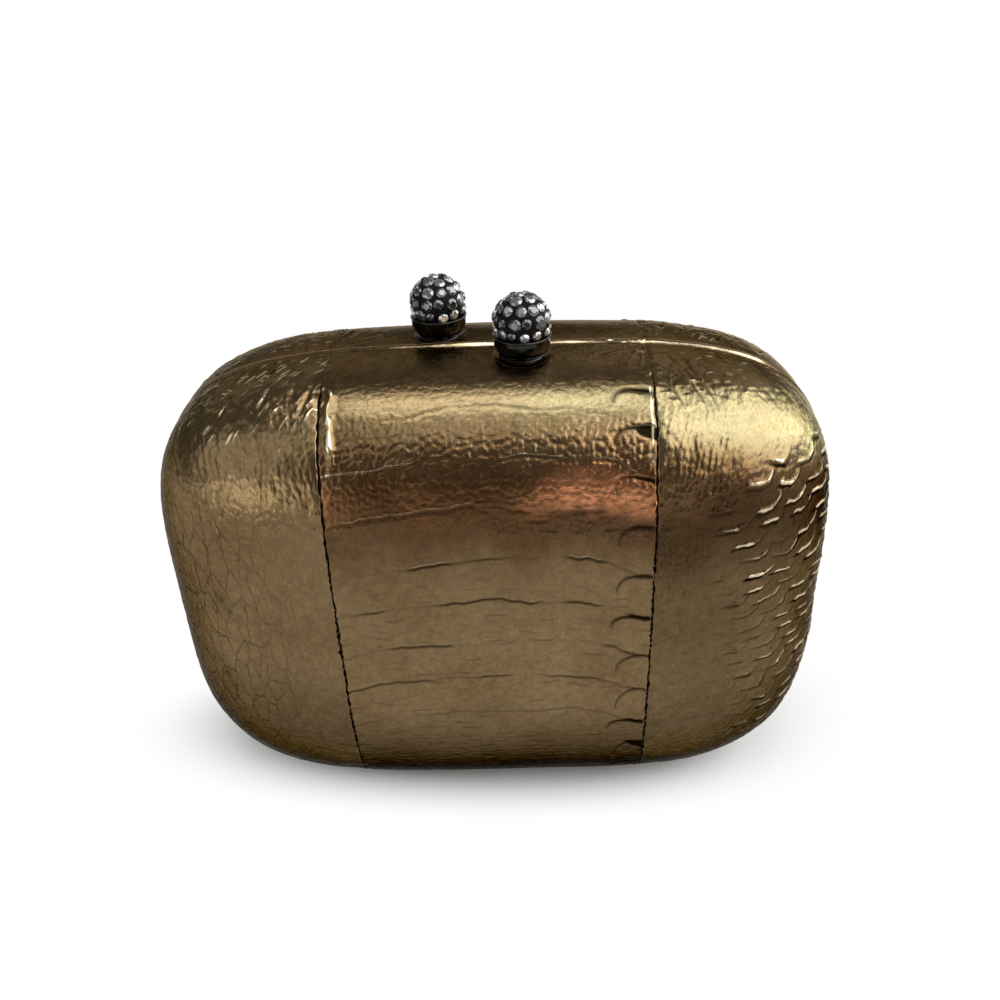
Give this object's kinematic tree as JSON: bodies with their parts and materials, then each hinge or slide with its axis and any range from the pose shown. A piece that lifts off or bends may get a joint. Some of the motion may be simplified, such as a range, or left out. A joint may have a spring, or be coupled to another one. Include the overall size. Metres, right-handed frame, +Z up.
{
  "type": "minaudiere",
  "caption": "Hard pillow-shaped evening clutch covered in foiled snakeskin leather, hinged along the bottom, with a pair of pave ball knobs on top.",
  "frame": {"origin": "middle of the flat base, in the parting plane of the two halves", "axes": "+X along the width to the right, +Y to the back, +Z up; the front faces -Y"},
  "size_m": [0.1661, 0.076, 0.1339],
  "materials": {
    "leather": "foiled snakeskin leather in antique bronze",
    "shell": "moulded black plastic",
    "lining": "dark brown suedette",
    "brass": "antique brass",
    "gunmetal": "polished dark gunmetal plate",
    "pave_base": "black setting resin",
    "stones": "foil-backed clear and smoke crystal",
    "steel": "plain steel"
  },
  "bodies": {
    "back_case": {"back_catch_rivets": "brass", "back_centre_panel": "leather", "back_hinge_leaf": "brass", "back_hinge_rivets": "brass", "back_knob_collar": "gunmetal", "back_knob_cup": "gunmetal", "back_knob_dome": "pave_base", "back_knob_nut": "steel", "back_knob_post": "steel", "back_knob_stones": "stones", "back_left_panel": "leather", "back_lining": "lining", "back_right_panel": "leather", "back_rim": "brass", "back_shell": "shell", "catch_spring": "steel", "hinge_pin": "brass"},
    "front_case": {"catch_tongue": "brass", "front_catch_rivets": "brass", "front_centre_panel": "leather", "front_hinge_leaf": "brass", "front_hinge_rivets": "brass", "front_knob_collar": "gunmetal", "front_knob_cup": "gunmetal", "front_knob_dome": "pave_base", "front_knob_nut": "steel", "front_knob_post": "steel", "front_knob_stones": "stones", "front_left_panel": "leather", "front_lining": "lining", "front_right_panel": "leather", "front_rim": "brass", "front_shell": "shell"}
  },
  "joints": [
    {"name": "front_hinge", "type": "hinge", "parent": "back_case", "child": "front_case", "pos_m": [0, 0, 0.002], "axis": [1, 0, 0], "range_deg": [0, 75], "deforming": ["catch_spring"]}
  ]
}
